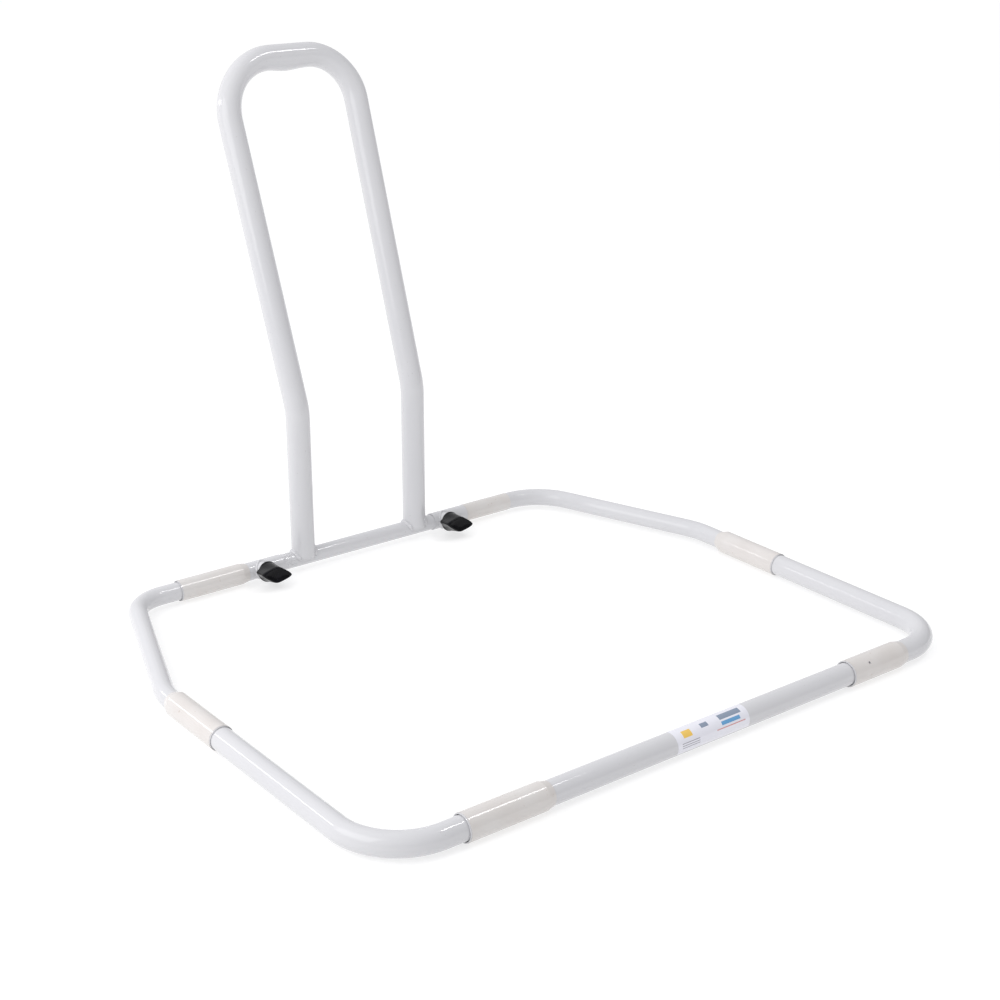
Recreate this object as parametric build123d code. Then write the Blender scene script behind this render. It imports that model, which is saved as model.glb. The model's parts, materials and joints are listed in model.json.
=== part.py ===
from build123d import *
import math
import os

# Bed grab rail: a flat floor-plan ring of push-fit steel tubes that lies between mattress and
# bed base, and an upright hand loop on a crossbar that is clamped into the ring's rear tubes.
# X runs along the front bar, +Y from the front bar to the loop, +Z up.  Millimetres.
# The origin is on the surface the ring lies on, halfway along the front bar's centre line.

# ---- tubes: outside diameters and walls ---------------------------------------------------
FRONT_OD = 22.2
FRONT_WALL = 1.5
REAR_OD = 19.05
REAR_WALL = 0.925
CROSSBAR_WALL = 1.5
CROSSBAR_FIT = 0.10          # radial running clearance of the crossbar in the rear tubes
LOOP_OD = 25.4
LOOP_WALL = 1.5

# ---- ring, measured on the tube centre lines ----------------------------------------------
RING_WIDTH = 665.0
RING_DEPTH = 546.0
REAR_RUN = 201.0             # Y from where the sides turn inwards to the rear bar
CLAMP_SPAN = 188.0           # X from a leg of the loop to the rear corner on its side
FRONT_LEFT_BEND = 60.0
FRONT_RIGHT_BEND = 51.0
SIDE_BEND = 80.0
REAR_LEFT_BEND = 42.0
REAR_RIGHT_BEND = 58.0

# ---- swaged sockets, and the straight stubs between them and the nearest bend ----------------
SOCKET_CLEARANCE = 0.35      # radial gap round the tube that is pushed in
SIDE_CLEARANCE = 0.15        # the same in the two side sockets
SEAT_DEPTH = 45.0            # how far a tube goes in before it meets the shoulder
NECK_LENGTH = 7.0
MOUTH_BEVEL = 0.5
FRONT_SOCKET_WALL = 1.25
SIDE_SOCKET_WALL = 0.60
REAR_SOCKET_WALL = 0.90
FRONT_LEFT_SOCKET = 88.0     # lengths with the neck
FRONT_RIGHT_SOCKET = 76.0
SIDE_LEFT_SOCKET = 87.0
SIDE_RIGHT_SOCKET = 88.0
REAR_LEFT_SOCKET = 80.0
FRONT_LEFT_STUB = 17.5
FRONT_RIGHT_STUB = 13.5
SIDE_LEFT_STUB = 2.0
SIDE_RIGHT_STUB = 23.0
REAR_LEFT_STUB = 19.5
VENT_RADIUS = 1.3
VENT_OFFSET = 22.0           # from the front right mouth
VENT_TURN = 45.0             # degrees from +Z towards the front

# ---- ivory joint sleeves -------------------------------------------------------------------
SLEEVE_WALL = 0.30
SLEEVE_SETBACK = 1.2         # the bare lip left at the mouth
REAR_RIGHT_SLEEVE = 62.0     # length
REAR_RIGHT_STUB = 4.0        # from the sleeve to the rear right bend

# ---- hand loop and crossbar ----------------------------------------------------------------
LOOP_CENTRE = 12.5           # X
LEG_SPACING = 146.0
TOP_SPACING = 159.0          # the upper legs splay to this
KINK_HEIGHT = 165.0          # above the crossbar's centre line
UPPER_LENGTH = 361.0         # from the kink to the top bar's centre line
LEAN = 19.5                  # degrees, away from the ring
KINK_BEND = 60.0
TOP_LEFT_BEND = 61.0
TOP_RIGHT_BEND = 50.0
LEFT_CLAMP_GAP = 16.5        # from the leg's surface to the mouth of the clamp tube
RIGHT_CLAMP_GAP = 10.5
LEFT_INSERTION = 36.0        # of the crossbar in the clamp tube
RIGHT_INSERTION = 42.0
WELD_SIZE = 2.0

# ---- clamp screws --------------------------------------------------------------------------
LEFT_KNOB_INSET = 25.0       # from the mouth of the clamp tube
RIGHT_KNOB_INSET = 14.5
KNOB_TILT = 8.0              # degrees above the horizontal, pointing into the ring
SCREW_RADIUS = 3.0
SCREW_CLEARANCE = 0.10
BOSS_EDGE = 0.5              # by how much the boss's radius is less than the rear tube's
BOSS_HEIGHT = 4.5
PAD_GAP = 0.30               # from the pad to the crossbar
PAD_LENGTH = 2.0
PAD_TO_STUD = 0.05
STUD_IN_KNOB = 14.0
KNOB_GAP = 1.5               # between boss and knob when tight
KNOB_TURN = -12.0            # degrees, the wings from the tube's direction when tight
COLLAR_RADIUS = 11.0
COLLAR_HEIGHT = 3.0
HUB_RADIUS = 8.4             # at the outer end
WING_HEIGHT = 19.5
WING_FOOT_SPAN = 21.0
WING_TOP_SPAN = 36.0
WING_WAIST = 15.5
WING_TIP = 2.0               # radius of the wings' tips
KNOB_EDGE = 1.2              # rounding of the outer edges

# ---- rating label --------------------------------------------------------------------------
LABEL_LENGTH = 86.0          # to the right from the middle of the bare front tube
LABEL_THICKNESS = 0.12
LABEL_SPREAD = 150.0         # degrees round the tube
LABEL_TURN = 45.0            # degrees from +Z towards the front

# ---- worked-out sizes ----------------------------------------------------------------------
FRONT_R = FRONT_OD / 2
REAR_R = REAR_OD / 2
REAR_BORE = REAR_R - REAR_WALL
CROSSBAR_R = REAR_BORE - CROSSBAR_FIT
LOOP_R = LOOP_OD / 2
FRONT_BORE = FRONT_R - FRONT_WALL
BOSS_RADIUS = REAR_R - BOSS_EDGE
AXIS_Z = FRONT_R + SOCKET_CLEARANCE + FRONT_SOCKET_WALL + SLEEVE_WALL
HALF_WIDTH = RING_WIDTH / 2
HALF_REAR = LEG_SPACING / 2 + CLAMP_SPAN
SIDE_LENGTH = RING_DEPTH - REAR_RUN
SIDE_ANGLE = math.atan2(HALF_WIDTH - HALF_REAR, REAR_RUN)
REAR_ANGLE = math.pi / 2 - SIDE_ANGLE
SIDE_TANGENT = SIDE_BEND * math.tan(SIDE_ANGLE / 2)
LEFT_LEG = LOOP_CENTRE - LEG_SPACING / 2
RIGHT_LEG = LOOP_CENTRE + LEG_SPACING / 2

# along a clamp screw, from the crossbar's centre line
PAD_START = CROSSBAR_R + PAD_GAP
STUD_START = PAD_START + PAD_LENGTH + PAD_TO_STUD
BOSS_TOP = REAR_R + BOSS_HEIGHT
KNOB_START = BOSS_TOP + KNOB_GAP
STUD_END = KNOB_START + STUD_IN_KNOB

# where the sockets, clamp tubes and knobs are
FRONT_LEFT_MOUTH = -HALF_WIDTH + FRONT_LEFT_BEND + FRONT_LEFT_STUB
FRONT_RIGHT_MOUTH = HALF_WIDTH - FRONT_RIGHT_BEND - FRONT_RIGHT_STUB - FRONT_RIGHT_SOCKET
SIDE_LEFT_MOUTH = SIDE_LENGTH - SIDE_TANGENT - SIDE_LEFT_STUB - SIDE_LEFT_SOCKET
SIDE_RIGHT_MOUTH = SIDE_LENGTH - SIDE_TANGENT - SIDE_RIGHT_STUB - SIDE_RIGHT_SOCKET
REAR_LEFT_MOUTH = -HALF_REAR + REAR_LEFT_BEND * math.tan(REAR_ANGLE / 2) + REAR_LEFT_STUB
REAR_RIGHT_END = HALF_REAR - REAR_RIGHT_BEND * math.tan(REAR_ANGLE / 2) - REAR_RIGHT_STUB
LEFT_CLAMP_MOUTH = LEFT_LEG - LOOP_R - LEFT_CLAMP_GAP
RIGHT_CLAMP_MOUTH = RIGHT_LEG + LOOP_R + RIGHT_CLAMP_GAP
LEFT_KNOB_X = LEFT_CLAMP_MOUTH - LEFT_KNOB_INSET
RIGHT_KNOB_X = RIGHT_CLAMP_MOUTH + RIGHT_KNOB_INSET
CROSSBAR_LEFT = LEFT_CLAMP_MOUTH - LEFT_INSERTION
CROSSBAR_RIGHT = RIGHT_CLAMP_MOUTH + RIGHT_INSERTION
LABEL_START = (FRONT_LEFT_MOUTH + FRONT_RIGHT_MOUTH) / 2

ALONG_X = Vector(1, 0, 0)
ALONG_Y = Vector(0, 1, 0)
UP = Vector(0, 0, 1)


def leaning(degrees):
    """A level direction out to the front, raised by an angle."""
    angle = math.radians(degrees)
    return Vector(0, -math.cos(angle), math.sin(angle))


SCREW_AXIS = leaning(KNOB_TILT)
VENT_AXIS = leaning(90 - VENT_TURN)
REAR_AXIS = Vector(0, RING_DEPTH, AXIS_Z)
CUT_OVER = 1.0               # how far a cutter passes the face it cuts

os.makedirs("parts", exist_ok=True)


def write(node, *solids):
    shape = solids[0] if len(solids) == 1 else Compound(children=list(solids))
    export_step(shape, f"parts/{node}.step")


def bent_tube(points, radii, outer, inner):
    """A round tube whose centre line is the rounded polyline."""
    path = FilletPolyline(*points, radius=radii) if len(points) > 2 else Line(*points)
    end = Plane(origin=path @ 0, z_dir=path % 0)
    return sweep(end * (Circle(outer) - Circle(inner)), path)


def turned(profile, origin, direction):
    """A ring turned from (distance along the axis, radius) points."""
    face = Plane.XZ * make_face(Polyline(*[(r, z) for z, r in profile], close=True))
    return Plane(origin=origin, z_dir=direction) * revolve(face, Axis.Z)


def rod(origin, direction, start, end, radius):
    """A round bar between two distances along an axis."""
    bar = Pos(0, 0, (start + end) / 2) * Cylinder(radius, end - start)
    return Plane(origin=origin, z_dir=direction) * bar


def socket(mouth, inward, length, tube_r, tube_bore, plug_r, wall, gap=SOCKET_CLEARANCE):
    """A swaged tube end: a wide bore, a shoulder for the plug's end and a neck to the tube."""
    bore = plug_r + gap
    outside = bore + wall
    bevel = min(MOUTH_BEVEL, wall / 2)
    return turned(
        [
            (0, bore + bevel),
            (0, outside),
            (length - NECK_LENGTH, outside),
            (length, tube_r),
            (length, tube_bore),
            (SEAT_DEPTH, tube_bore),
            (SEAT_DEPTH, bore),
            (2 * bevel, bore),
        ],
        mouth,
        inward,
    )


def joint_sleeve(mouth, inward, length, tube_r, plug_r, wall, gap=SOCKET_CLEARANCE):
    """The thin ivory sleeve that covers a socket and its neck."""
    under = plug_r + gap + wall
    return turned(
        [
            (SLEEVE_SETBACK, under),
            (SLEEVE_SETBACK, under + SLEEVE_WALL),
            (length - NECK_LENGTH, under + SLEEVE_WALL),
            (length, tube_r + SLEEVE_WALL),
            (length, tube_r),
            (length - NECK_LENGTH, under),
        ],
        mouth,
        inward,
    )


# ---- the ring ------------------------------------------------------------------------------
front_left = Vector(FRONT_LEFT_MOUTH, 0, AXIS_Z)
front_right = Vector(FRONT_RIGHT_MOUTH, 0, AXIS_Z)
side_left = Vector(-HALF_WIDTH, SIDE_LEFT_MOUTH, AXIS_Z)
side_right = Vector(HALF_WIDTH, SIDE_RIGHT_MOUTH, AXIS_Z)
rear_left = Vector(REAR_LEFT_MOUTH, RING_DEPTH, AXIS_Z)

centre_tube = socket(
    front_left, ALONG_X, FRONT_LEFT_SOCKET, FRONT_R, FRONT_BORE, FRONT_R, FRONT_SOCKET_WALL
) + bent_tube(
    [front_left + ALONG_X * FRONT_LEFT_SOCKET, front_right + ALONG_X * SEAT_DEPTH],
    None, FRONT_R, FRONT_BORE,
)
write("front_centre_tube", centre_tube)

left_corner = bent_tube(
    [
        front_left + ALONG_X * SEAT_DEPTH,
        Vector(-HALF_WIDTH, 0, AXIS_Z),
        side_left + ALONG_Y * SEAT_DEPTH,
    ],
    FRONT_LEFT_BEND, FRONT_R, FRONT_BORE,
)
write("front_left_corner_tube", left_corner)

right_corner = socket(
    front_right, ALONG_X, FRONT_RIGHT_SOCKET, FRONT_R, FRONT_BORE, FRONT_R, FRONT_SOCKET_WALL
) + bent_tube(
    [
        front_right + ALONG_X * FRONT_RIGHT_SOCKET,
        Vector(HALF_WIDTH, 0, AXIS_Z),
        side_right + ALONG_Y * SEAT_DEPTH,
    ],
    FRONT_RIGHT_BEND, FRONT_R, FRONT_BORE,
)
vent = rod(front_right + ALONG_X * VENT_OFFSET, VENT_AXIS, FRONT_R, FRONT_OD, VENT_RADIUS)
write("front_right_corner_tube", right_corner - vent)


def rear_corner(side):
    """Bend points of a rear tube, from the side socket's neck to the rear corner."""
    return [
        Vector(side * HALF_WIDTH, SIDE_LENGTH, AXIS_Z),
        Vector(side * HALF_REAR, RING_DEPTH, AXIS_Z),
    ]


def screw_hole(knob_x):
    """The hole for a clamp screw through the tube's wall and the boss."""
    centre = Vector(knob_x, RING_DEPTH, AXIS_Z)
    return rod(centre, SCREW_AXIS, 0, BOSS_TOP + CUT_OVER, SCREW_RADIUS + SCREW_CLEARANCE)


rear_left_tube = socket(
    side_left, ALONG_Y, SIDE_LEFT_SOCKET, REAR_R, REAR_BORE, FRONT_R, SIDE_SOCKET_WALL,
    SIDE_CLEARANCE,
) + bent_tube(
    [
        side_left + ALONG_Y * SIDE_LEFT_SOCKET,
        *rear_corner(-1),
        rear_left + ALONG_X * SEAT_DEPTH,
    ],
    [SIDE_BEND, REAR_LEFT_BEND], REAR_R, REAR_BORE,
)
write("rear_left_corner_tube", rear_left_tube)

left_clamp_tube = socket(
    rear_left, ALONG_X, REAR_LEFT_SOCKET, REAR_R, REAR_BORE, REAR_R, REAR_SOCKET_WALL
) + bent_tube(
    [rear_left + ALONG_X * REAR_LEFT_SOCKET, Vector(LEFT_CLAMP_MOUTH, RING_DEPTH, AXIS_Z)],
    None, REAR_R, REAR_BORE,
)
write("left_clamp_tube", left_clamp_tube - screw_hole(LEFT_KNOB_X))

rear_right_tube = socket(
    side_right, ALONG_Y, SIDE_RIGHT_SOCKET, REAR_R, REAR_BORE, FRONT_R, SIDE_SOCKET_WALL,
    SIDE_CLEARANCE,
) + bent_tube(
    [
        side_right + ALONG_Y * SIDE_RIGHT_SOCKET,
        *rear_corner(1),
        Vector(RIGHT_CLAMP_MOUTH, RING_DEPTH, AXIS_Z),
    ],
    [SIDE_BEND, REAR_RIGHT_BEND], REAR_R, REAR_BORE,
)
write("rear_right_corner_tube", rear_right_tube - screw_hole(RIGHT_KNOB_X))

# ---- joint sleeves -------------------------------------------------------------------------
write("front_left_sleeve", joint_sleeve(
    front_left, ALONG_X, FRONT_LEFT_SOCKET, FRONT_R, FRONT_R, FRONT_SOCKET_WALL))
write("front_right_sleeve", joint_sleeve(
    front_right, ALONG_X, FRONT_RIGHT_SOCKET, FRONT_R, FRONT_R, FRONT_SOCKET_WALL) - vent)
write("side_left_sleeve", joint_sleeve(
    side_left, ALONG_Y, SIDE_LEFT_SOCKET, REAR_R, FRONT_R, SIDE_SOCKET_WALL, SIDE_CLEARANCE))
write("side_right_sleeve", joint_sleeve(
    side_right, ALONG_Y, SIDE_RIGHT_SOCKET, REAR_R, FRONT_R, SIDE_SOCKET_WALL, SIDE_CLEARANCE))
write("rear_left_sleeve", joint_sleeve(
    rear_left, ALONG_X, REAR_LEFT_SOCKET, REAR_R, REAR_R, REAR_SOCKET_WALL))
write("rear_right_sleeve", turned(
    [
        (0, REAR_R),
        (0, REAR_R + SLEEVE_WALL),
        (REAR_RIGHT_SLEEVE, REAR_R + SLEEVE_WALL),
        (REAR_RIGHT_SLEEVE, REAR_R),
    ],
    REAR_AXIS + ALONG_X * REAR_RIGHT_END,
    -ALONG_X,
))

# ---- hand loop, crossbar and their welds ---------------------------------------------------
write("crossbar", bent_tube(
    [Vector(CROSSBAR_LEFT, RING_DEPTH, AXIS_Z), Vector(CROSSBAR_RIGHT, RING_DEPTH, AXIS_Z)],
    None, CROSSBAR_R, CROSSBAR_R - CROSSBAR_WALL,
))

lean = math.radians(LEAN)
rise = Vector(0, math.sin(lean), math.cos(lean)) * UPPER_LENGTH
foot, kink, top = [], [], []
for leg_x, splay in ((LEFT_LEG, -1), (RIGHT_LEG, 1)):
    foot.append(REAR_AXIS + ALONG_X * leg_x)
    kink.append(foot[-1] + UP * KINK_HEIGHT)
    top.append(kink[-1] + rise + ALONG_X * splay * (TOP_SPACING - LEG_SPACING) / 2)
loop = bent_tube(
    [foot[0], kink[0], top[0], top[1], kink[1], foot[1]],
    [KINK_BEND, TOP_LEFT_BEND, TOP_RIGHT_BEND, KINK_BEND], LOOP_R, LOOP_R - LOOP_WALL,
)
cross_solid = rod(REAR_AXIS, ALONG_X, CROSSBAR_LEFT, CROSSBAR_RIGHT, CROSSBAR_R)
write("hand_loop", loop - cross_solid)


def leg_weld(x):
    """Beads where the crossbar leaves the leg's wall, on both sides."""
    leg_foot = REAR_AXIS + ALONG_X * x
    skin = rod(leg_foot, UP, 0, LOOP_OD, LOOP_R + WELD_SIZE)
    skin -= rod(leg_foot, UP, -CUT_OVER, LOOP_OD + CUT_OVER, LOOP_R)
    band = rod(leg_foot, ALONG_X, -LOOP_OD, LOOP_OD, CROSSBAR_R + WELD_SIZE)
    return ((skin & band) - cross_solid).solids()


write("leg_welds", *leg_weld(LEFT_LEG), *leg_weld(RIGHT_LEG))

# ---- clamp screws --------------------------------------------------------------------------
def boss(knob_x):
    """A round nut welded on the rear tube, saddled to its surface."""
    centre = Vector(knob_x, RING_DEPTH, AXIS_Z)
    body = rod(centre, SCREW_AXIS, 0, BOSS_TOP, BOSS_RADIUS)
    tube_space = rod(centre, ALONG_X, -REAR_OD, REAR_OD, REAR_R)
    return body - tube_space - screw_hole(knob_x)


def boss_weld(knob_x):
    """The bead round the foot of a boss."""
    centre = Vector(knob_x, RING_DEPTH, AXIS_Z)
    ring = rod(centre, SCREW_AXIS, 0, BOSS_TOP, BOSS_RADIUS + WELD_SIZE / 2)
    ring -= rod(centre, SCREW_AXIS, 0, BOSS_TOP, BOSS_RADIUS)
    band = rod(centre, ALONG_X, -REAR_OD, REAR_OD, REAR_R + WELD_SIZE / 2)
    tube_space = rod(centre, ALONG_X, -REAR_OD, REAR_OD, REAR_R)
    return [bead for bead in ((ring & band) - tube_space).solids()]


def lens(span):
    """The wings' outline, two arcs that meet in rounded tips."""
    half = span / 2 - WING_TIP
    bulge = WING_WAIST / 2 - WING_TIP
    edges = [ThreePointArc((-half, 0), (0, side * bulge), (half, 0)) for side in (-1, 1)]
    return offset(make_face(edges), amount=WING_TIP, kind=Kind.ARC)


def bevelled(solid):
    """The solid with the edges of its outer end taken off."""
    return chamfer(solid.faces().sort_by(Axis.Z)[-1].edges(), KNOB_EDGE)


def knob():
    """A wing knob on its collar, with the screw axis up and the wings along X."""
    collar = Pos(0, 0, COLLAR_HEIGHT / 2) * Cylinder(COLLAR_RADIUS, COLLAR_HEIGHT)
    hub = Pos(0, 0, COLLAR_HEIGHT + WING_HEIGHT / 2) * Cone(COLLAR_RADIUS, HUB_RADIUS, WING_HEIGHT)
    foot_face = Pos(0, 0, COLLAR_HEIGHT) * lens(WING_FOOT_SPAN)
    top_face = Pos(0, 0, COLLAR_HEIGHT + WING_HEIGHT) * lens(WING_TOP_SPAN)
    return collar + bevelled(hub) + bevelled(loft([foot_face, top_face]))


for side, knob_x in (("left", LEFT_KNOB_X), ("right", RIGHT_KNOB_X)):
    centre = Vector(knob_x, RING_DEPTH, AXIS_Z)
    seat = Plane(origin=centre, x_dir=ALONG_X, z_dir=SCREW_AXIS)
    write(f"{side}_boss", boss(knob_x))
    write(f"{side}_pad", rod(centre, SCREW_AXIS, PAD_START, PAD_START + PAD_LENGTH, SCREW_RADIUS))
    write(f"{side}_stud", rod(centre, SCREW_AXIS, STUD_START, STUD_END, SCREW_RADIUS))
    stud_hole = rod(centre, SCREW_AXIS, KNOB_START - CUT_OVER, STUD_END, SCREW_RADIUS)
    body = seat * Pos(0, 0, KNOB_START) * Rot(0, 0, KNOB_TURN) * knob()
    write(f"{side}_knob", body - stud_hole)

write("boss_welds", *(boss_weld(LEFT_KNOB_X) + boss_weld(RIGHT_KNOB_X)))

# ---- rating label --------------------------------------------------------------------------
strip = Pos(0, FRONT_R, 0) * Rectangle(LABEL_LENGTH, LABEL_THICKNESS, align=Align.MIN)
label = revolve(strip, Axis.X, LABEL_SPREAD)
label_turn = 90 + LABEL_TURN - LABEL_SPREAD / 2
write("rating_label", Pos(LABEL_START, 0, AXIS_Z) * Rot(label_turn, 0, 0) * label)
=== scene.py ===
import json
import math

import bpy
from mathutils import Matrix, Vector, noise


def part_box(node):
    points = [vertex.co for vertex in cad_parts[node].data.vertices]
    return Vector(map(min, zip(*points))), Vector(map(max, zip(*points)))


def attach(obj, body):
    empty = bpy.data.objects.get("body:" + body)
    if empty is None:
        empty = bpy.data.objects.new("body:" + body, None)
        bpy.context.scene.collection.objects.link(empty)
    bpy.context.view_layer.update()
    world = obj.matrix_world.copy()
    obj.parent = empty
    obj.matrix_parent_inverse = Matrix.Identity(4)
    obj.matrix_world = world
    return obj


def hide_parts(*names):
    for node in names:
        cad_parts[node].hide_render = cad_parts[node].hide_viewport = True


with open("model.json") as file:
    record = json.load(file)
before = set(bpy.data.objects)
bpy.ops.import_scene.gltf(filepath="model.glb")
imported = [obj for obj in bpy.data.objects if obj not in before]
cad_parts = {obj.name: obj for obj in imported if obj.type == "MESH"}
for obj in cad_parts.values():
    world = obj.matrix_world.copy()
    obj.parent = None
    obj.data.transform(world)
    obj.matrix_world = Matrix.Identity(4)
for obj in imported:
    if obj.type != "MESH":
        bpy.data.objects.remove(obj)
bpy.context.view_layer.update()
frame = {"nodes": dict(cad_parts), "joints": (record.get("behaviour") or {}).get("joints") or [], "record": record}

scene = bpy.context.scene
record = frame["record"]
nodes_by_name = frame["nodes"]
joints = {joint["name"]: joint for joint in frame["joints"]}
mounts = {mount["name"]: mount for mount in record["mounts"]}

# ---- camera, at the angle the object is seen from ----------------------------------------
CAMERA_AT = Vector((-0.9626, -0.9534, 0.7446))
CAMERA_HEADING = 0.663       # radians from +Y towards +X
CAMERA_PITCH = 0.400         # radians below the horizontal
CAMERA_ROLL = 0.006
CAMERA_LENS = 62.92
CAMERA_SENSOR = 36.0
CAMERA_SHIFT_Y = 0.0602

ahead = Vector((
    math.sin(CAMERA_HEADING) * math.cos(CAMERA_PITCH),
    math.cos(CAMERA_HEADING) * math.cos(CAMERA_PITCH),
    -math.sin(CAMERA_PITCH),
))
level_right = Vector((math.cos(CAMERA_HEADING), -math.sin(CAMERA_HEADING), 0))
level_up = level_right.cross(ahead)
right = math.cos(CAMERA_ROLL) * level_right + math.sin(CAMERA_ROLL) * level_up
up = -math.sin(CAMERA_ROLL) * level_right + math.cos(CAMERA_ROLL) * level_up
camera_data = bpy.data.cameras.new("camera")
camera_data.lens = CAMERA_LENS
camera_data.sensor_width = CAMERA_SENSOR
camera_data.shift_y = CAMERA_SHIFT_Y
camera = bpy.data.objects.new("camera", camera_data)
scene.collection.objects.link(camera)
camera.matrix_world = (
    Matrix.Translation(CAMERA_AT) @ Matrix((right, up, -ahead)).transposed().to_4x4()
)
scene.camera = camera
scene.view_settings.view_transform = "Standard"

# ---- studio light --------------------------------------------------------------------------
SKY_COLOUR = (0.985, 0.985, 1.0, 1)
world = bpy.data.worlds.new("studio")
scene.world = world
world.use_nodes = True
world_nodes = world.node_tree.nodes
world_links = world.node_tree.links
background = world_nodes["Background"]
background.inputs["Color"].default_value = SKY_COLOUR
SKY_LIGHT = (-0.55, 0.40, 0.60)      # the brighter side of the studio's ceiling
direction = world_nodes.new("ShaderNodeTexCoord")
facing = world_nodes.new("ShaderNodeVectorMath")
facing.operation = "DOT_PRODUCT"
facing.inputs[1].default_value = SKY_LIGHT
ramp = world_nodes.new("ShaderNodeMapRange")
ramp.inputs["From Min"].default_value = -0.6
ramp.inputs["From Max"].default_value = 0.80
ramp.inputs["To Min"].default_value = 0.25
ramp.inputs["To Max"].default_value = 1.18
world_links.new(direction.outputs["Generated"], facing.inputs[0])
world_links.new(facing.outputs["Value"], ramp.inputs["Value"])
world_links.new(ramp.outputs["Result"], background.inputs["Strength"])


def area_light(name, at, target, long_way, size, power):
    """A soft box that faces target, with its long side along long_way."""
    data = bpy.data.lights.new(name, "AREA")
    data.shape = "RECTANGLE"
    data.size, data.size_y = size
    data.energy = power
    lamp = bpy.data.objects.new(name, data)
    behind = (Vector(at) - Vector(target)).normalized()
    along = Vector(long_way)
    along = (along - behind * along.dot(behind)).normalized()
    turned = Matrix((along.cross(behind), along, behind)).transposed()
    lamp.matrix_world = Matrix.Translation(at) @ turned.to_4x4()
    scene.collection.objects.link(lamp)


area_light("left_fill", (-1.25, 0.3, 0.9), (0, 0.3, 0), (0, 1, 0), (0.9, 1.2), 6)
area_light("left_strip", (-1.33, 1.95, 1.04), (0, 0.2, 0), (0, 1, 0), (0.16, 1.15), 4.5)
area_light("high_strip", (0.88, -0.34, 2.0), (0, 0.3, 0), (0.9, 0.44, 0), (0.16, 0.62), 6.5)


# ---- material helpers -------------------------------------------------------------------------
class Paint:
    """A Principled material that is built up node by node."""

    def __init__(self, name):
        self.material = bpy.data.materials.new(name)
        self.material.use_nodes = True
        self.tree = self.material.node_tree
        self.shader = self.tree.nodes["Principled BSDF"]
        self.place = self.node("ShaderNodeTexCoord").outputs["Object"]

    def node(self, kind, **settings):
        made = self.tree.nodes.new(kind)
        for key, value in settings.items():
            setattr(made, key, value)
        return made

    def link(self, out, into):
        self.tree.links.new(out, into)

    def set(self, **values):
        for key, value in values.items():
            self.shader.inputs[key.replace("_", " ")].default_value = value

    def noise(self, scale, detail=3.0):
        made = self.node("ShaderNodeTexNoise")
        made.inputs["Scale"].default_value = scale
        made.inputs["Detail"].default_value = detail
        self.link(self.place, made.inputs["Vector"])
        return made.outputs["Fac"]

    def blend(self, factor, first, second):
        """A colour between two colours or sockets."""
        mix = self.node("ShaderNodeMix", data_type="RGBA")
        self.feed(mix.inputs[0], factor)
        self.feed(mix.inputs[6], first)
        self.feed(mix.inputs[7], second)
        return mix.outputs[2]

    def feed(self, socket, value):
        if isinstance(value, bpy.types.NodeSocket):
            self.link(value, socket)
        elif isinstance(value, tuple) and len(value) == 3:
            socket.default_value = (*value, 1)
        else:
            socket.default_value = value

    def math(self, operation, first, second=0.0):
        made = self.node("ShaderNodeMath", operation=operation)
        self.feed(made.inputs[0], first)
        self.feed(made.inputs[1], second)
        return made.outputs[0]

    def spread(self, value, low, high, to_low=0.0, to_high=1.0):
        made = self.node("ShaderNodeMapRange")
        made.inputs["From Min"].default_value = low
        made.inputs["From Max"].default_value = high
        made.inputs["To Min"].default_value = to_low
        made.inputs["To Max"].default_value = to_high
        self.feed(made.inputs["Value"], value)
        return made.outputs["Result"]

    def axes(self):
        parts = self.node("ShaderNodeSeparateXYZ")
        self.link(self.place, parts.inputs["Vector"])
        return parts.outputs

    def bump(self, height, strength, distance):
        made = self.node("ShaderNodeBump")
        made.inputs["Strength"].default_value = strength
        made.inputs["Distance"].default_value = distance
        self.link(height, made.inputs["Height"])
        self.link(made.outputs["Normal"], self.shader.inputs["Normal"])


# ---- materials ------------------------------------------------------------------------------
COAT = (0.590, 0.590, 0.610)
COAT_WARM = (0.603, 0.602, 0.620)
COAT_SPECK = (0.50, 0.49, 0.50)


def powder_coat():
    """Gloss white powder coat: orange peel, faint cloudiness and a few dust specks."""
    paint = Paint("white_coat")
    clouds = paint.spread(paint.noise(7.0), 0.35, 0.65)
    specks = paint.spread(paint.noise(420.0, 1.0), 0.755, 0.79)
    base = paint.blend(clouds, COAT, COAT_WARM)
    paint.link(paint.blend(specks, base, COAT_SPECK), paint.shader.inputs["Base Color"])
    paint.link(
        paint.spread(paint.noise(40.0), 0.3, 0.7, 0.07, 0.09), paint.shader.inputs["Roughness"]
    )
    paint.set(IOR=1.5)
    paint.bump(paint.noise(260.0, 1.0), 0.06, 0.0002)
    return paint.material


def ivory():
    """Satin ivory sleeve, a little blotched, with scattered marks."""
    paint = Paint("ivory_sleeve")
    blotches = paint.spread(paint.noise(34.0, 4.0), 0.35, 0.68)
    marks = paint.spread(paint.noise(230.0, 2.0), 0.70, 0.76)
    tint = paint.spread(paint.noise(3.5, 1.0), 0.40, 0.60)
    fresh = paint.blend(tint, (0.645, 0.626, 0.612), (0.655, 0.626, 0.612))
    base = paint.blend(blotches, fresh, (0.622, 0.590, 0.570))
    paint.link(paint.blend(marks, base, (0.50, 0.44, 0.39)), paint.shader.inputs["Base Color"])
    paint.link(
        paint.spread(paint.noise(60.0), 0.3, 0.7, 0.11, 0.16), paint.shader.inputs["Roughness"]
    )
    paint.bump(paint.noise(300.0, 2.0), 0.08, 0.0002)
    return paint.material


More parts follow.
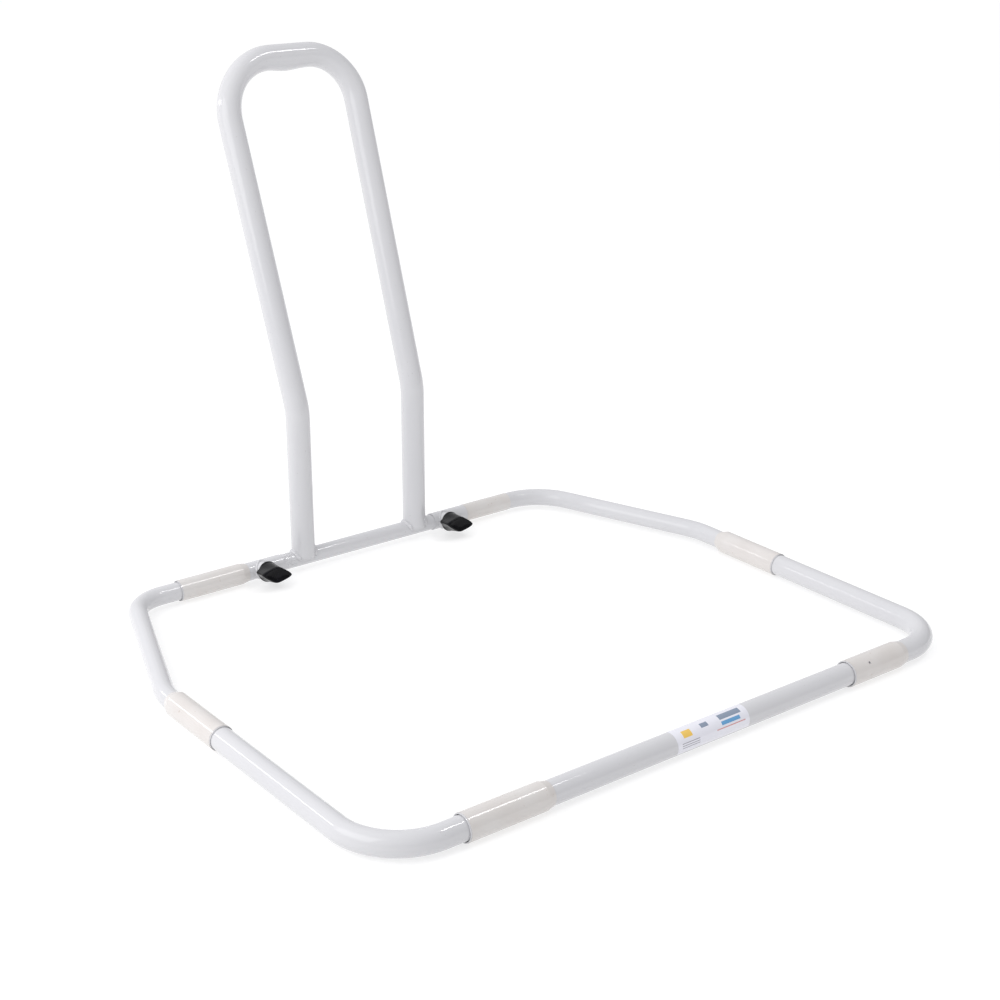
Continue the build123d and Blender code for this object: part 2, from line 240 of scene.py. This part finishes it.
def black_plastic():
    """Moulded black plastic with a fine spark-eroded grain and rubbed, paler patches."""
    paint = Paint("black_plastic")
    rubbed = paint.spread(paint.noise(90.0, 4.0), 0.45, 0.75)
    paint.link(
        paint.blend(rubbed, (0.003, 0.003, 0.004), (0.006, 0.006, 0.008)),
        paint.shader.inputs["Base Color"],
    )
    paint.link(
        paint.spread(paint.noise(140.0), 0.3, 0.7, 0.20, 0.30), paint.shader.inputs["Roughness"]
    )
    paint.set(Specular_IOR_Level=0.13)
    paint.bump(paint.noise(2600.0, 2.0), 0.08, 0.00012)
    return paint.material


def zinc():
    paint = Paint("zinc_steel")
    paint.link(
        paint.blend(paint.noise(300.0, 3.0), (0.52, 0.53, 0.56), (0.68, 0.68, 0.70)),
        paint.shader.inputs["Base Color"],
    )
    paint.link(
        paint.spread(paint.noise(500.0), 0.3, 0.7, 0.25, 0.42), paint.shader.inputs["Roughness"]
    )
    paint.set(Metallic=1.0)
    return paint.material


def nylon():
    paint = Paint("nylon")
    paint.link(
        paint.blend(paint.noise(250.0), (0.78, 0.76, 0.70), (0.84, 0.82, 0.77)),
        paint.shader.inputs["Base Color"],
    )
    paint.set(Roughness=0.5)
    paint.bump(paint.noise(1200.0), 0.1, 0.0001)
    return paint.material


LABEL_LOW_EDGE = math.radians(-30)    # round the tube, from straight ahead
LABEL_HIGH_EDGE = math.radians(120)


def label_film():
    """A gloss film label with plain blocks of colour and thin rules, and no lettering."""
    paint = Paint("label_film")
    low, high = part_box("rating_label")
    x, y, z = paint.axes()
    along = paint.spread(x, low.x, high.x)
    axis_z = mounts["front_bar"]["pos_m"][2]
    raised = paint.math("SUBTRACT", z, axis_z)
    turn = paint.math("ARCTAN2", raised, paint.math("MULTIPLY", y, -1.0))
    around = paint.spread(turn, LABEL_LOW_EDGE, LABEL_HIGH_EDGE)

    def block(left, right_end, bottom, top_end):
        inside = None
        for value, a, b in ((along, left, right_end), (around, bottom, top_end)):
            for test in (
                paint.math("GREATER_THAN", value, a),
                paint.math("LESS_THAN", value, b),
            ):
                inside = test if inside is None else paint.math("MULTIPLY", inside, test)
        return inside

    film = paint.blend(paint.noise(60.0), (0.74, 0.74, 0.81), (0.78, 0.78, 0.84))
    for shade, marks in (
        ((0.80, 0.52, 0.10), [(0.10, 0.22, 0.46, 0.70)]),
        ((0.13, 0.34, 0.60), [(0.62, 0.88, 0.40, 0.52)]),
        ((0.22, 0.27, 0.36), [(0.36, 0.46, 0.56, 0.72), (0.62, 0.92, 0.58, 0.78)]),
        ((0.62, 0.30, 0.30), [(0.54, 0.94, 0.30, 0.335)]),
        ((0.30, 0.30, 0.34), [(0.06, 0.30, 0.30 - 0.07 * k, 0.325 - 0.07 * k) for k in range(3)]),
    ):
        for mark in marks:
            film = paint.blend(block(*mark), film, shade)
    paint.link(film, paint.shader.inputs["Base Color"])
    paint.set(Roughness=0.18, Coat_Weight=0.4, Coat_Roughness=0.05)
    return paint.material


floor_paint = Paint("floor_paint")
floor_paint.link(
    floor_paint.blend(floor_paint.noise(1.5), (0.45, 0.45, 0.45), (0.47, 0.47, 0.47)),
    floor_paint.shader.inputs["Base Color"],
)
floor_paint.set(
    Roughness=0.95, Specular_IOR_Level=0.0,
    Emission_Color=(1, 1, 1, 1), Emission_Strength=0.60,
)
FLOOR_REACH = 40.0
floor_mesh = bpy.data.meshes.new("floor")
floor_mesh.from_pydata(
    [(x * FLOOR_REACH, y * FLOOR_REACH, 0) for x, y in ((-1, -1), (1, -1), (1, 1), (-1, 1))],
    [],
    [(0, 1, 2, 3)],
)
floor_mesh.materials.append(floor_paint.material)
floor = bpy.data.objects.new("floor", floor_mesh)
scene.collection.objects.link(floor)

finish = {
    "white_coat": powder_coat(),
    "ivory_sleeve": ivory(),
    "black_plastic": black_plastic(),
    "zinc_steel": zinc(),
    "nylon": nylon(),
    "label_film": label_film(),
}
for part in record["subparts"]:
    node = nodes_by_name[part["node"]]
    node.data.materials.clear()
    node.data.materials.append(finish[part["material_slot"]])


# ---- meshes -----------------------------------------------------------------------------------
def add_piece(name, vertices, faces, slot, body, replaced=()):
    mesh = bpy.data.meshes.new(name)
    mesh.from_pydata([tuple(v) for v in vertices], [], faces)
    mesh.validate()
    mesh.materials.append(finish[slot])
    for polygon in mesh.polygons:
        polygon.use_smooth = True
    piece = bpy.data.objects.new(name, mesh)
    scene.collection.objects.link(piece)
    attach(piece, body)
    if replaced:
        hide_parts(*replaced)
    return piece


def skin(rings, closed_ends=True):
    """Faces over rings of equal size, with a fan at each end."""
    vertices = [point for ring in rings for point in ring]
    size = len(rings[0])
    faces = []
    for level in range(len(rings) - 1):
        for k in range(size):
            a = level * size + k
            b = level * size + (k + 1) % size
            faces.append((a, b, b + size, a + size))
    if closed_ends:
        for level, order in ((0, -1), (len(rings) - 1, 1)):
            centre = sum(rings[level], Vector()) / size
            vertices.append(centre)
            for k in range(size):
                pair = (level * size + k, level * size + (k + 1) % size)
                faces.append((*pair[::order], len(vertices) - 1))
    return vertices, faces


def rounded_path(corners, radii, step):
    """Points along a polyline whose inner corners are arcs."""
    points = []
    for k, corner in enumerate(corners):
        if k in (0, len(corners) - 1):
            points.append(corner.copy())
            continue
        back = (corners[k - 1] - corner).normalized()
        on = (corners[k + 1] - corner).normalized()
        turn = math.pi - back.angle(on)
        reach = radii[k - 1] * math.tan(turn / 2)
        centre = corner + (back + on).normalized() * (radii[k - 1] / math.cos(turn / 2))
        first = corner + back * reach - centre
        last = corner + on * reach - centre
        count = max(2, round(radii[k - 1] * turn / step))
        swing = first.cross(last).normalized()
        for j in range(count + 1):
            points.append(centre + Matrix.Rotation(turn * j / count, 3, swing) @ first)
    dense = [points[0]]
    for point in points[1:]:
        gap = (point - dense[-1]).length
        start = dense[-1]
        for j in range(1, max(1, round(gap / step)) + 1):
            dense.append(start.lerp(point, j / max(1, round(gap / step))))
    return dense


# ---- the hand loop, with the slightly flattened bends of a mandrel-less tube ---------------------
AROUND = 48
PATH_STEP = 0.004
KINK_HEIGHT = 0.165
KINK_BEND = 0.060
TOP_LEFT_BEND = 0.061
TOP_RIGHT_BEND = 0.050
FLATTENING = 0.055
BULGE = 0.0022                # the dip under the middle of the top
BULGE_REACH = 0.016
BULGE_LEAST = 1e-5
ABOVE_KINK = 0.24             # over the fold axis, where the loop lies in its upper plane
fold = joints["handle_fold"]
fold_at = Vector(fold["pos_m"])
loop_r = mounts["hand_loop_leg"]["dims"]["r_mm"] / 1000
left_leg_x = mounts["hand_loop_leg"]["pos_m"][0]
right_leg_x = 2 * fold_at.x - left_leg_x
loop_low, loop_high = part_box("hand_loop")
top_y = loop_high.y - loop_r
top_z = loop_high.z - loop_r
corners = []
for leg_x, top_x in ((left_leg_x, loop_low.x + loop_r), (right_leg_x, loop_high.x - loop_r)):
    foot = Vector((leg_x, fold_at.y, fold_at.z))
    column = [foot, foot + Vector((0, 0, KINK_HEIGHT)), Vector((top_x, top_y, top_z))]
    corners += column if not corners else column[::-1]
path = rounded_path(corners, [KINK_BEND, TOP_LEFT_BEND, TOP_RIGHT_BEND, KINK_BEND], PATH_STEP)
top_middle = (corners[2] + corners[3]) / 2
loop_plane = (corners[3] - corners[2]).cross(corners[1] - corners[2]).normalized()


def bend_share(point):
    """How far a point of the loop is inside one of the two top bends, 0 to 1."""
    share = 0.0
    for corner, radius in ((corners[2], TOP_LEFT_BEND), (corners[3], TOP_RIGHT_BEND)):
        share = max(share, 1 - (point - corner).length / (0.85 * radius))
    return max(0.0, min(1.0, 1.8 * share))


rings = []
for k, point in enumerate(path):
    along = (path[min(k + 1, len(path) - 1)] - path[max(k - 1, 0)]).normalized()
    side = loop_plane if point.z > fold_at.z + ABOVE_KINK else Vector((0, 1, 0))
    side = (side - along * side.dot(along)).normalized()
    inward = along.cross(side).normalized()
    share = bend_share(point)
    from_middle = (point - top_middle).length
    bulge = BULGE * math.exp(-((from_middle / BULGE_REACH) ** 2))
    ring = []
    for j in range(AROUND):
        angle = 2 * math.pi * j / AROUND
        a = math.cos(angle) * loop_r * (1 + 0.4 * FLATTENING * share)
        b = math.sin(angle) * loop_r * (1 - FLATTENING * share)
        lower = max(0.0, -(inward * math.sin(angle)).z)
        offset = side * a + inward * b
        if bulge > BULGE_LEAST and lower > 0:
            offset += Vector((0, 0, -bulge * lower))
        ring.append(point + offset)
    rings.append(ring)
vertices, faces = skin(rings, closed_ends=True)
add_piece("hand_loop_tube", vertices, faces, "white_coat", "handle", ("hand_loop",))


# ---- weld beads --------------------------------------------------------------------------------
BEAD_PITCH = 0.0022           # between two passes of the torch
BEAD_AROUND = 14


def bead(line, radius, seed=0.0, closed=False):
    """A hand-laid weld: a tube along a line, swollen at each pass of the torch."""
    rings = []
    count = len(line)
    travelled = 0.0
    for k, point in enumerate(line):
        before = line[(k - 1) % count] if closed else line[max(k - 1, 0)]
        after = line[(k + 1) % count] if closed else line[min(k + 1, count - 1)]
        along = (after - before).normalized()
        side = along.cross(Vector((0.13, 0.21, 0.97))).normalized()
        other = along.cross(side)
        travelled += (point - line[k - 1]).length if k else 0.0
        ripple = 1 + 0.22 * abs(math.sin(math.pi * travelled / BEAD_PITCH))
        end = 1.0 if closed else min(1.0, 0.35 + 1.2 * min(k, count - 1 - k) / count * 4)
        ring = []
        for j in range(BEAD_AROUND):
            angle = 2 * math.pi * j / BEAD_AROUND
            out = side * math.cos(angle) + other * math.sin(angle)
            lump = 1 + 0.30 * noise.noise((point + out * radius) * 320 + Vector((seed, 0, 0)))
            ring.append(point + out * radius * ripple * lump * end)
        rings.append(ring)
    if closed:
        rings.append(rings[0])
    vertices, faces = skin(rings, closed_ends=not closed)
    return vertices, faces


def merged(parts):
    vertices, faces = [], []
    for some_vertices, some_faces in parts:
        shift = len(vertices)
        vertices += some_vertices
        faces += [tuple(i + shift for i in face) for face in some_faces]
    return vertices, faces


def droplet(at, radius):
    """A bead of spatter: a small round blob, half sunk in the surface."""
    levels = []
    for j in range(7):
        tilt = math.pi * j / 6
        levels.append([
            at + radius * Vector((
                max(0.02, math.sin(tilt)) * math.cos(math.pi * k / 4),
                max(0.02, math.sin(tilt)) * math.sin(math.pi * k / 4),
                -math.cos(tilt),
            ))
            for k in range(8)
        ])
    return skin(levels)


cross_low, cross_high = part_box("crossbar")
cross_r = (cross_high.z - cross_low.z) / 2
BEAD_RADIUS = 0.0021
beads = []
for leg_x in (left_leg_x, right_leg_x):
    for way in (-1, 1):
        line = []
        for k in range(61):
            angle = math.radians(-88 + 176 * k / 60)
            y = cross_r * math.sin(angle)
            z = cross_r * math.cos(angle)
            x = way * math.sqrt(loop_r**2 - y**2)
            line.append(Vector((leg_x + x, fold_at.y + y, fold_at.z + z)))
        beads.append(bead(line, BEAD_RADIUS, seed=10 * leg_x + way))
SPATTER_REACH = 0.013         # how far the spatter lies from the left leg's bead
SPATTER_COUNT = 34
for k in range(SPATTER_COUNT):
    share = (k + 0.5) / SPATTER_COUNT
    turned = math.radians(-75 + 150 * ((k * 0.618) % 1))
    radius = 0.0004 + 0.0006 * ((k * 0.754) % 1)
    x = left_leg_x - loop_r - 0.001 - SPATTER_REACH * share
    out = Vector((0, math.sin(turned - 0.5), math.cos(turned - 0.5)))
    beads.append(droplet(Vector((x, fold_at.y, fold_at.z)) + out * cross_r, radius))
vertices, faces = merged(beads)
add_piece("leg_weld_beads", vertices, faces, "white_coat", "handle", ("leg_welds",))

BOSS_WELD_RADIUS = 0.0013
beads = []
for side_name in ("left", "right"):
    turn = joints[f"{side_name}_knob_turn"]
    axis = Vector(turn["axis"]).normalized()
    across = Vector((1, 0, 0)).cross(axis)
    foot = Vector(turn["pos_m"])
    boss_low, boss_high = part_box(f"{side_name}_boss")
    boss_r = (boss_high.x - boss_low.x) / 2
    tube_r = boss_r + 0.0005
    line = []
    for k in range(96):
        angle = 2 * math.pi * k / 96
        a = boss_r * math.cos(angle)
        b = boss_r * math.sin(angle)
        depth = math.sqrt(tube_r**2 - b**2)
        line.append(foot + Vector((a, 0, 0)) + across * b + axis * depth)
    beads.append(bead(line, BOSS_WELD_RADIUS, seed=5 * foot.x, closed=True))
vertices, faces = merged(beads)
add_piece("boss_weld_beads", vertices, faces, "white_coat", "ring", ("boss_welds",))


# ---- wing knobs ----------------------------------------------------------------------------------
KNOB_TURN = math.radians(-12)
COLLAR_RADIUS = 0.0110
COLLAR_HEIGHT = 0.0030
HUB_RADIUS = 0.0084
WING_FOOT_HALF = 0.0150       # fuller than the CAD knob's 0.0105
WING_TOP_HALF = 0.0180
WING_WAIST_HALF = 0.0078
KNOB_AROUND = 96


def reach_along(node, origin, axis):
    spans = [(v.co - origin).dot(axis) for v in nodes_by_name[node].data.vertices]
    return min(spans), max(spans)


def wing_radius(angle, half_span, half_waist):
    """Polar radius of a pointed lens with rounded tips."""
    c = abs(math.cos(angle))
    s = abs(math.sin(angle))
    power = 1.45
    return ((c / half_span) ** power + (s / half_waist) ** power) ** (-1 / power)


for side_name in ("left", "right"):
    turn = joints[f"{side_name}_knob_turn"]
    axis = Vector(turn["axis"]).normalized()
    origin = Vector(turn["pos_m"])
    low, high = reach_along(f"{side_name}_knob", origin, axis)
    across = axis.cross(Vector((1, 0, 0))).normalized()
    first = Vector((1, 0, 0)) * math.cos(KNOB_TURN) + across * math.sin(KNOB_TURN)
    second = axis.cross(first)
    height = high - low - COLLAR_HEIGHT
    rings = []

    def ring_at(depth, radius_of):
        return [
            origin + axis * depth
            + (first * math.cos(a) + second * math.sin(a)) * radius_of(a)
            for a in (2 * math.pi * k / KNOB_AROUND for k in range(KNOB_AROUND))
        ]

    for depth, radius in (
        (low, COLLAR_RADIUS - 0.0012),
        (low + 0.0001, COLLAR_RADIUS - 0.0006),
        (low + 0.0007, COLLAR_RADIUS),
        (low + COLLAR_HEIGHT - 0.0007, COLLAR_RADIUS),
        (low + COLLAR_HEIGHT - 0.0002, COLLAR_RADIUS - 0.0004),
    ):
        rings.append(ring_at(depth, lambda a, r=radius: r))
    for step in range(17):
        t = step / 16
        eased = t * t * (3 - 2 * t)
        half_span = WING_FOOT_HALF + (WING_TOP_HALF - WING_FOOT_HALF) * (0.35 * t + 0.65 * eased)
        hub = COLLAR_RADIUS - 0.0006 + (HUB_RADIUS - COLLAR_RADIUS) * t
        edge = 1 - 0.10 * max(0.0, (t - 0.90) / 0.10) ** 2

        def outline(a, hub=hub, half_span=half_span, edge=edge):
            wing = wing_radius(a, half_span, WING_WAIST_HALF)
            return ((hub**7 + wing**7) ** (1 / 7)) * 0.985 * edge

        rings.append(ring_at(low + COLLAR_HEIGHT + height * t, outline))
    for depth, share in ((high - 0.0001, 0.80), (high - 0.0009, 0.66), (high - 0.0011, 0.30)):
        def dished(a, share=share):
            wing = wing_radius(a, WING_TOP_HALF, WING_WAIST_HALF)
            return ((HUB_RADIUS**7 + wing**7) ** (1 / 7)) * share

        rings.append(ring_at(depth, dished))
    vertices, faces = skin(rings)
    add_piece(
        f"{side_name}_wing_knob", vertices, faces, "black_plastic",
        f"{side_name}_screw", (f"{side_name}_knob",),
    )
